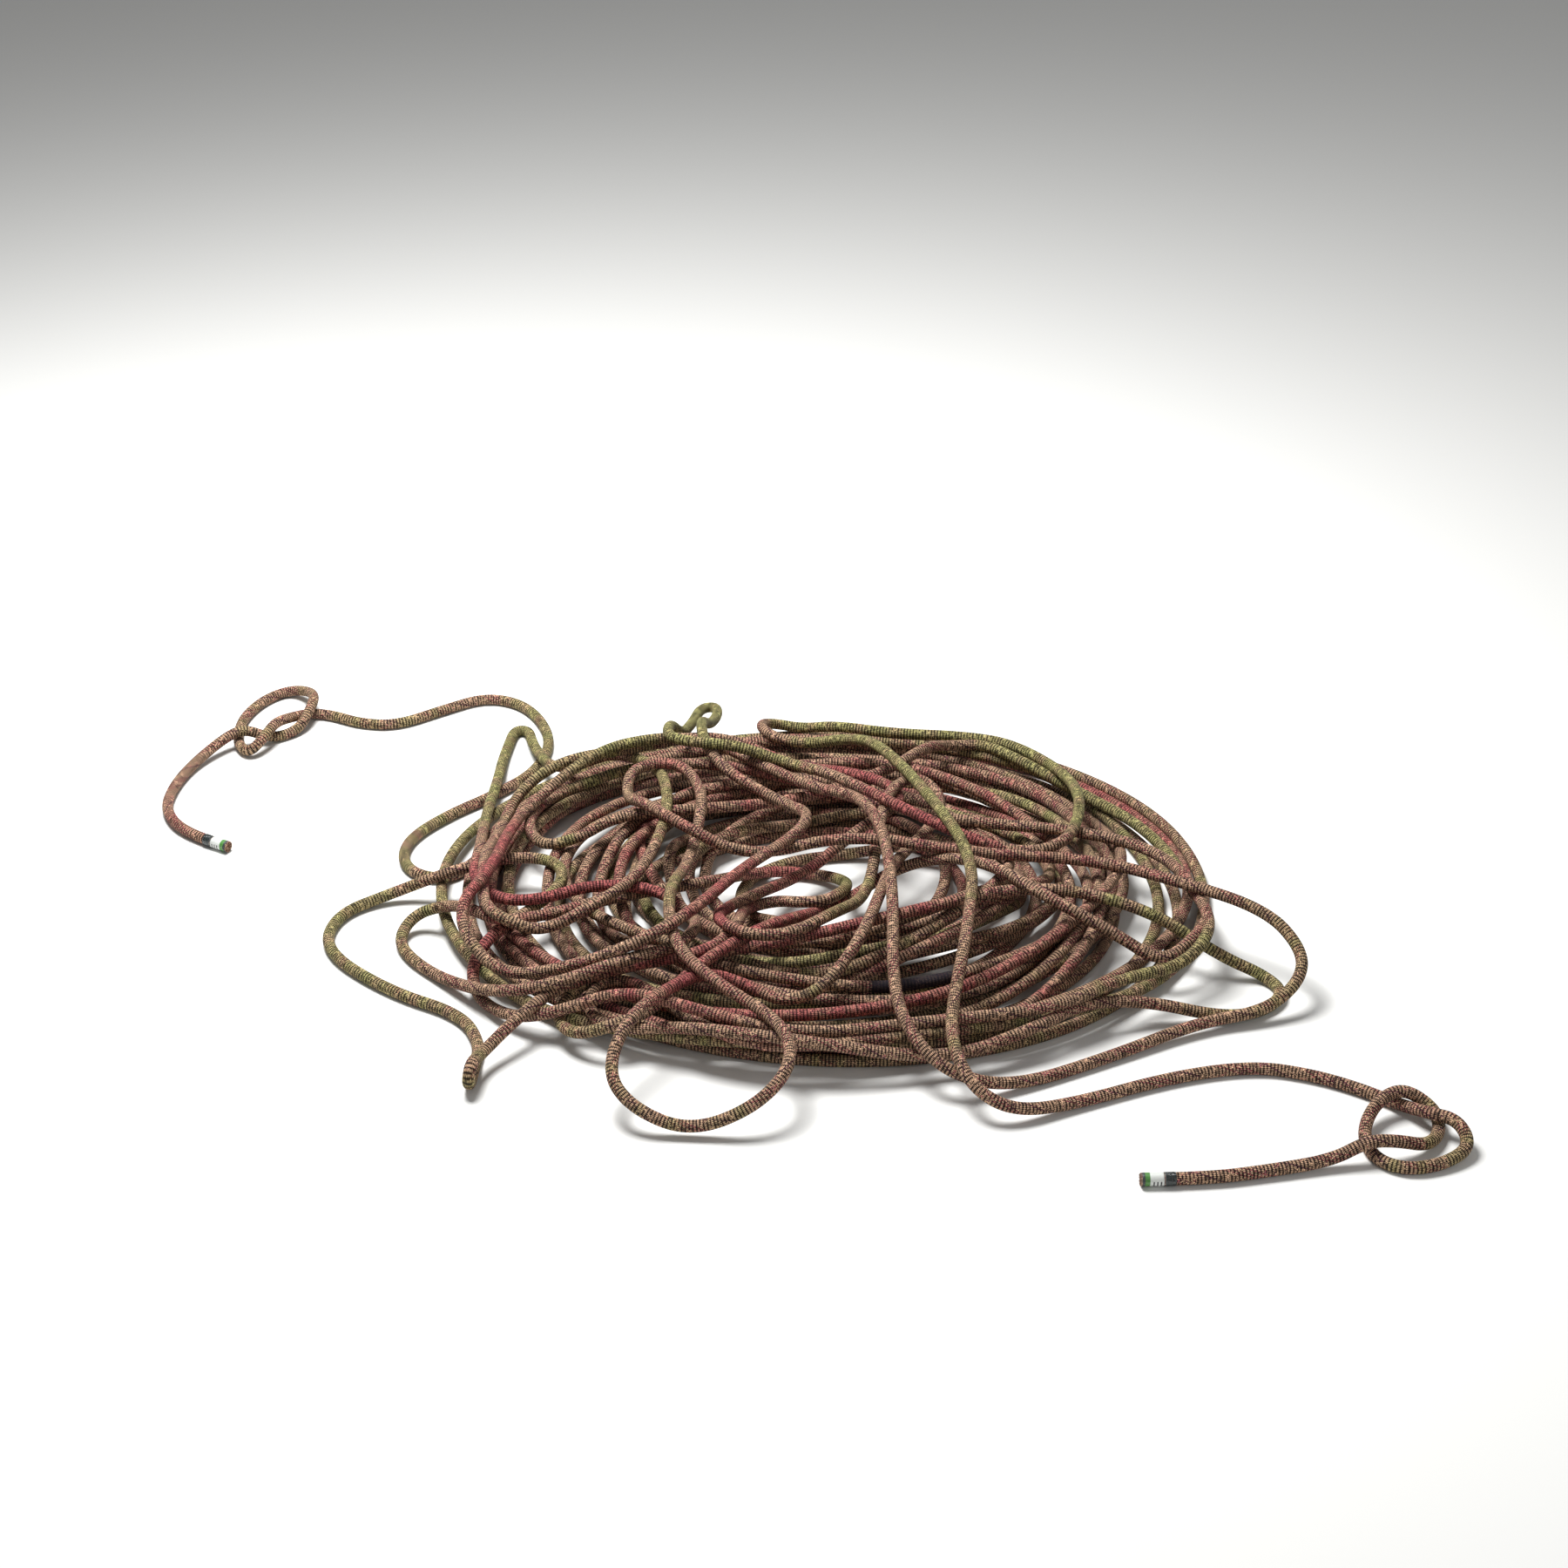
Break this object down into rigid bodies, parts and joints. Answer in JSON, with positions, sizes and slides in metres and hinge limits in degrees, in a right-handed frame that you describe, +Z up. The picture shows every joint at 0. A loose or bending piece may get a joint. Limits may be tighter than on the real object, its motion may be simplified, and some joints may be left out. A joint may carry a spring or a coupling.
{
  "type": "dynamic climbing rope",
  "caption": "Long braided kernmantle climbing rope dropped in a loose heap, with an overhand knot and a labelled sleeve near each end.",
  "frame": {"origin": "middle of the heap's box, on the ground it lies on", "axes": "+Z up, +X along the heap's longest side, +Y away from the viewer"},
  "size_m": [1.0792, 0.7706, 0.083],
  "materials": {
    "sheath": "braided polyamide yarn, several colours",
    "core": "twisted polyamide yarn",
    "core_strands": "heat-cut yarn ends",
    "label": "printed film, plain bands",
    "sleeve": "clear shrink film"
  },
  "bodies": {
    "root": {"back_crossing_core": "core", "back_crossing_sheath": "sheath", "back_parallel_core": "core", "back_parallel_sheath": "sheath", "centre_arch_core": "core", "centre_arch_sheath": "sheath", "centre_hook_core": "core", "centre_hook_sheath": "sheath", "front_left_bend_core": "core", "front_left_bend_sheath": "sheath", "heap_coil_core": "core", "heap_coil_sheath": "sheath", "left_end_core_strands": "core_strands", "left_end_label": "label", "left_end_sleeve": "sleeve", "left_fold_core": "core", "left_fold_sheath": "sheath", "left_front_return_core": "core", "left_front_return_sheath": "sheath", "left_hook_core": "core", "left_hook_sheath": "sheath", "left_knot_core": "core", "left_knot_sheath": "sheath", "left_lead_core": "core", "left_lead_sheath": "sheath", "left_spike_core": "core", "left_spike_sheath": "sheath", "left_tail_core": "core", "left_tail_sheath": "sheath", "middle_crossing_core": "core", "middle_crossing_sheath": "sheath", "right_end_core_strands": "core_strands", "right_end_label": "label", "right_end_sleeve": "sleeve", "right_knot_core": "core", "right_knot_sheath": "sheath", "right_return_core": "core", "right_return_sheath": "sheath", "right_tail_core": "core", "right_tail_sheath": "sheath", "tall_strand_core": "core", "tall_strand_sheath": "sheath", "top_strand_core": "core", "top_strand_sheath": "sheath"}
  },
  "joints": []
}
